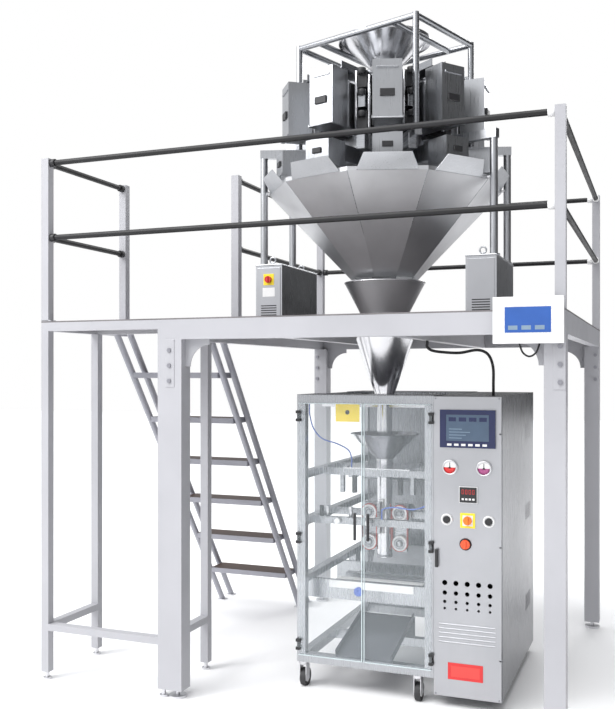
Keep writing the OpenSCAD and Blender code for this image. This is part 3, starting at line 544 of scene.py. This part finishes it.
# ---------------------------------------------------------------- cabinet
def add_cabinet_details():
    door = "cabinet_door"
    low, high = mm_box("operator_screen")
    face = low.y
    block("display", (low.x + 34, face + 1.6, low.z + 36), (high.x - 34, face + 3.2, high.z - 26), DISPLAY, door,
          1)
    for n in range(4):
        x = low.x + 48 + n * 55
        block(f"display_tile_{n}", (x, face + 1.2, high.z - 62), (x + 40, face + 1.8, high.z - 40), NAVY, door,
              0)
        block(f"display_bar_{n}", (low.x + 50, face + 1.2, low.z + 50 + 16 * n),
              (low.x + 120 + 22 * (n % 3), face + 1.8, low.z + 54 + 16 * n), DISPLAY_INK, door, 0)
    for n in range(6):
        x = low.x + 40 + n * 38
        block(f"screen_key_{n}", (x, face - 1.5, low.z + 10), (x + 24, face + 1, low.z + 22), WHITE, door,
              1)
    x0, plate_y = 1415, 430
    for n, gx in enumerate((91, 274)):
        centre = (x0 + gx, plate_y - 11.8, 1298)
        collar(f"dial_bezel_{n}", centre, "y", 33, 41, 5, ZINC, door)
        lathe(f"dial_upper_{n}", centre, "y", [(2, 0), (33, 0), (33, 1.6), (2, 1.6)], (RED, PURPLE)[n], door,
              24, (180, 360))
        disc(f"dial_pin_{n}", centre, "y", 5, 5, BLACK, door, 1)
        block(f"dial_mark_{n}", (centre[0] - 1.6, plate_y - 14.5, 1298), (centre[0] + 1.6, plate_y - 12, 1324), BLACK,
              door, 0)
    add_counter(x0 + 190, plate_y - 10, 1154, door)
    for n, bx in enumerate((73, 299)):
        collar(f"button_ring_{n}", (x0 + bx, plate_y - 4.8, 1016), "y", 20.5, 31, 4, WHITE, door)
    block("selector_plate", (x0 + 146, plate_y - 5.2, 976), (x0 + 226, plate_y - 3.8, 986), YELLOW, door,
          0.5)
    for n, (a, b, c, d) in enumerate(((146, 158, 986, 1056), (214, 226, 986, 1056), (158, 214, 1044, 1056))):
        block(f"selector_plate_side_{n}", (x0 + a, plate_y - 5.2, c), (x0 + b, plate_y - 3.8, d), YELLOW, door,
              0.5)
    collar("switch_ring", (x0 + 174, plate_y + 0.2, 888), "y", 26, 33, 4, BLACK, door)
    block("name_plate", (x0 + 78, plate_y - 3, 156), (x0 + 268, plate_y + 0.2, 246), RED, door, 1.5)
    block("name_plate_field", (x0 + 96, plate_y - 3.8, 172), (x0 + 250, plate_y - 2.5, 230), shade_plate(), door,
          1)
    for n, (gx, gz) in enumerate(((8, 70), (350, 70), (8, 1668), (350, 1668))):
        disc(f"panel_screw_{n}", (x0 + gx + 3, plate_y + 0.2, gz), "y", 5, 3, BOLT, door, 1)
    block("cabinet_grip", (x0 + 10, plate_y - 19, 756), (x0 + 28, plate_y - 8, 854), BLACK, door, 4)
    low, high = mm_box("cabinet_body")
    for n, z in enumerate((420, 980, 1480)):
        for k in range(6):
            block(f"side_louvre_{n}_{k}", (high.x - 1.5, low.y + 880, z - 16 * k), (high.x + 2.5, low.y + 1080,
                  z + 5 - 16 * k), CABINET, "frame", 1)


def shade_plate():
    return moulded("plate_red_light", (0.72, 0.06, 0.05), 0.3)


def add_counter(x, y, z, body):
    """A digit counter: black window, lit zeros and a row of keys."""
    block("counter_case", (x - 46, y - 3, z - 41), (x + 46, y + 0.2, z + 41), BLACK, body, 2)
    for digit in range(4):
        left = x - 34 + digit * 19
        for n, (dx, dz, w, h) in enumerate(((0, 0, 11, 2), (0, 22, 11, 2), (0, 1, 2, 22), (9, 1, 2, 22))):
            block(f"counter_bar_{digit}_{n}", (left + dx, y - 4, z + 4 + dz),
                  (left + dx + w, y - 2.5, z + 4 + dz + h), RED, body, 0)
    for n in range(4):
        block(f"counter_key_{n}", (x - 34 + n * 19, y - 4.5, z - 28), (x - 22 + n * 19, y - 2.5, z - 18), WHITE,
              body, 1)


# ---------------------------------------------------------------- weigher
def polar(angle, radius):
    return AXIS_X + radius * math.cos(math.radians(angle)), AXIS_Y + radius * math.sin(math.radians(angle))


def add_weigher_details():
    for k in range(HEADS):
        angle = HEAD_STEP * k
        outer = AXIS_X + 615
        block(f"feed_hopper_catch_{k}", (outer, 820, 3290), (outer + 10, 900, 3330), BLACK, "frame",
              3, angle, AXIS)
        block(f"feed_hopper_rib_{k}", (outer, 800, 3440), (outer + 6, 920, 3452), STEEL_H, "frame",
              2, angle, AXIS)
        block(f"weigh_hopper_catch_{k}", (AXIS_X + 650, 830, 3010), (AXIS_X + 659, 890, 3040), BLACK, "frame",
              3, angle, AXIS)
        block(f"drive_box_{k}", (AXIS_X + 284, 792, 3180), (AXIS_X + 462, 928, 3440), WEIGHER, "frame",
              6, angle, AXIS)
        block(f"drive_box_lower_{k}", (AXIS_X + 284, 800, 2985), (AXIS_X + 488, 920, 3085), WEIGHER, "frame",
              6, angle, AXIS)
        cable(f"pan_spring_{k}", [(*polar(angle - 8, 240), 3508), (*polar(angle - 8, 262), 3516),
                                  (*polar(angle - 8, 280), 3508)], 7, BLACK)
        add_mechanism(k, angle + HEAD_STEP / 2)
    # The band at z 3462 is black as painted shade of a gap in the weigher body; the bands at 2972 and 3506 are steel.
    for n, (z, r) in enumerate(((2972, 286), (3462, 286), (3506, 286))):
        collar(f"body_band_{n}", (AXIS_X, AXIS_Y, z), "z", 284, r + 3, 14, BLACK if n == 1 else STEEL_H, "frame")
    collar("body_skirt", (AXIS_X, AXIS_Y, 2952), "z", 210, 280, 20, BLACK, "frame")
    collar("infeed_rim", (AXIS_X, AXIS_Y, mm_box("infeed_funnel")[1].z - 7), "z", 250, 262, 7, POLISHED, "frame")


def add_mechanism(k, angle):
    """The springs, brackets and motor housings that show in the gap between two heads."""
    for n, (r, z, size, tall, mat, slot_name) in enumerate((
            (438, 3400, 58, 96, BLACK, "hinge_black"), (452, 3288, 44, 74, STEEL_H, "stainless"),
            (442, 3170, 62, 92, BLACK, "hinge_black"), (466, 3052, 50, 84, STEEL_H, "stainless"))):
        block(f"gap_part_{k}_{n}", (AXIS_X + r - 150, AXIS_Y - size / 2, z),
              (AXIS_X + r, AXIS_Y + size / 2, z + tall), mat, "frame", 4, angle, AXIS)
    for n, (turn, z0, z1) in enumerate(((-5, 3180, 3500), (5, 3060, 3470))):
        x, y = polar(angle + turn, 430)
        disc(f"gap_rod_{k}_{n}", (x, y, z0), "z", 9, z1 - z0, POLISHED, "frame")
    for n, z in enumerate((3232, 3352, 3472)):
        x, y = polar(angle, 446)
        collar(f"gap_spring_{k}_{n}", (x, y, z), "z", 14, 24, 34, BLACK, "frame")


def guide_flap(k):
    """A leaning guide plate that stands on the chute's rim outside each weigh hopper."""
    angle = math.radians(HEAD_STEP * k)
    out, along = Vector((math.cos(angle), math.sin(angle), 0)), Vector((-math.sin(angle), math.cos(angle), 0))
    foot = Vector((*polar(HEAD_STEP * k, 662), 2884))
    lean = out * 58 + Vector((0, 0, 82))
    thick = out * 4
    bm = bmesh.new()
    corners = []
    for shift in (Vector(), thick):
        for up, half in ((0, 168), (1, 128)):
            for side in (-1, 1):
                corners.append(bm.verts.new(at(*(foot + lean * up + along * half * side + shift))))
    a, b, c, d, e, f, g, h = corners
    for face in ((a, b, d, c), (e, g, h, f), (a, e, f, b), (c, d, h, g), (a, c, g, e), (b, f, h, d)):
        bm.faces.new(face)
    piece_from(bm, f"guide_flap_{k}", WEIGHER, "frame", 1.5)


def add_chute_seams():
    """Ten folded seams down the collecting cone, a rolled rim and a clamp band."""
    top_z, low_z, top_r, low_r = 2884, 2376, 694, 205
    for k in range(HEADS):
        angle = HEAD_STEP * k + HEAD_STEP / 2
        a = (*polar(angle, low_r), low_z)
        b = (*polar(angle, top_r), top_z)
        cable(f"chute_seam_{k}", [a, tuple((p + q) / 2 for p, q in zip(a, b)), b], 7, STEEL_H)
    for k in range(HEADS):
        guide_flap(k)
    collar("lower_funnel_rim", (AXIS_X, AXIS_Y, 2342), "z", 236, 244, 8, POLISHED, "frame")
    collar("deck_flange_ring", (AXIS_X, AXIS_Y, 2115), "z", 118, 150, 4, STEEL_H, "frame")
    for k in range(8):
        x, y = polar(45 * k + 20, 158)
        disc(f"flange_bolt_{k}", (x, y, 2115), "z", 6, 6, BOLT, "frame", 1.5)


def add_base_boxes():
    """Covers, louvres and plates on the two weigher base boxes."""
    reach = 635
    for side, s in enumerate((-1, 1)):
        x = AXIS_X + s * reach
        block(f"base_lid_{side}", (x - 88, 567, 2448), (x + 88, 1153, 2458), WEIGHER, "frame", 4)
        block(f"base_front_{side}", (x - 76, 567, 2124), (x + 76, 570.5, 2436), PANEL, "frame", 3)
        for k in range(5):
            z = 2150 + 14 * k
            block(f"base_louvre_{side}_{k}", (x - 50, 564.5, z), (x + 50, 568, z + 6), BLACK, "frame",
                  1)
        for k, lean in enumerate((-18, 18)):
            leg_x, leg_y = polar((0 if s > 0 else 180) + lean, 730)
            collar(f"leg_foot_{side}_{k}", (leg_x, leg_y, 2455), "z", 22, 34, 10, STEEL_H, "frame")
    x = AXIS_X - reach
    block("knob_plate", (x - 34, 565.6, 2331), (x + 34, 567.4, 2399), YELLOW, "frame", 1)
    block("data_plate", (x - 40, 565.6, 2262), (x + 40, 567.4, 2316), WHITE, "frame", 1)


def add_touch_panel():
    low, high = mm_box("touch_panel")
    body = "touch_panel"
    block("touch_bezel", (low.x + 46, low.y - 0.0, low.z + 40), (high.x - 46, low.y + 2, high.z - 38), BLACK, body,
          1)
    block("touch_glass", (low.x + 56, low.y - 0.2, low.z + 50), (high.x - 56, low.y + 2, high.z - 48), BLUE_GLASS,
          body, 0.5)
    for n in range(3):
        block(f"touch_tile_{n}", (low.x + 72 + 62 * n, low.y - 0.4, low.z + 64), (low.x + 116 + 62 * n, low.y + 1,
              low.z + 84), DISPLAY_INK, body, 0.3)


def add_collar_details():
    for n, (dx, dy) in enumerate(((-180, -150), (180, -150), (-180, 150), (180, 150))):
        disc(f"collar_bolt_{n}", (AXIS_X + dx, AXIS_Y + dy, 1246), "z", 8, 8, BOLT, "frame", 2)


add_cables()
add_rail_fittings()
add_platform_details()
add_door_details()
add_bagger_details()
add_film_details()
add_caster_details()
add_cabinet_details()
add_weigher_details()
add_chute_seams()
add_base_boxes()
add_touch_panel()
add_collar_details()


# ---------------------------------------------------------------- floor and light
def add_floor():
    bpy.ops.mesh.primitive_plane_add(size=60, location=(0, 0, 0))
    floor = bpy.context.object
    floor.name = "floor"
    floor.data.materials.append(shader("floor", (0.93, 0.93, 0.935), 0.7)[0])


def area_light(name, place, aim, size, power):
    light = bpy.data.lights.new(name, "AREA")
    light.size = size
    light.energy = power
    lamp = bpy.data.objects.new(name, light)
    lamp.location = place
    lamp.rotation_euler = (Vector(aim) - Vector(place)).to_track_quat("-Z", "Y").to_euler()
    bpy.context.scene.collection.objects.link(lamp)


def add_lights():
    world = bpy.data.worlds.new("studio")
    world.use_nodes = True
    tree = world.node_tree
    backdrop = tree.nodes["Background"]
    backdrop.inputs["Color"].default_value = (1, 1, 1, 1)
    # What the metal mirrors: a studio that is bright at the upper left and dim to the right.
    room = tree.nodes.new("ShaderNodeBackground")
    room.inputs["Color"].default_value = (0.97, 0.98, 1, 1)
    where = tree.nodes.new("ShaderNodeTexCoord")
    toward = tree.nodes.new("ShaderNodeVectorMath")
    toward.operation = "DOT_PRODUCT"
    toward.inputs[1].default_value = (-0.62, -0.40, 0.66)
    tree.links.new(where.outputs["Generated"], toward.inputs[0])
    span = tree.nodes.new("ShaderNodeMapRange")
    span.inputs["From Min"].default_value = -0.45
    span.inputs["From Max"].default_value = 0.75
    span.inputs["To Min"].default_value = 0.06
    span.inputs["To Max"].default_value = 1.15
    tree.links.new(toward.outputs["Value"], span.inputs["Value"])
    tree.links.new(span.outputs["Result"], room.inputs["Strength"])
    path = tree.nodes.new("ShaderNodeLightPath")
    mix = tree.nodes.new("ShaderNodeMixShader")
    tree.links.new(path.outputs["Is Camera Ray"], mix.inputs["Fac"])
    tree.links.new(room.outputs[0], mix.inputs[1])
    tree.links.new(backdrop.outputs[0], mix.inputs[2])
    tree.links.new(mix.outputs[0], tree.nodes["World Output"].inputs["Surface"])
    bpy.context.scene.world = world
    bpy.context.scene.view_settings.view_transform = "Standard"
    area_light("key", (-4.5, -5.5, 6.5), (0, 0, 1.8), 3.0, 260)
    area_light("back", (1.0, 6.0, 6.0), (0, 0, 2.0), 3.0, 160)
    sun = bpy.data.objects.new("sun", bpy.data.lights.new("sun", "SUN"))
    sun.data.energy = 2.1
    sun.data.angle = math.radians(50)
    sun.rotation_euler = (math.radians(28), math.radians(-14), 0)
    bpy.context.collection.objects.link(sun)


add_floor()
add_lights()
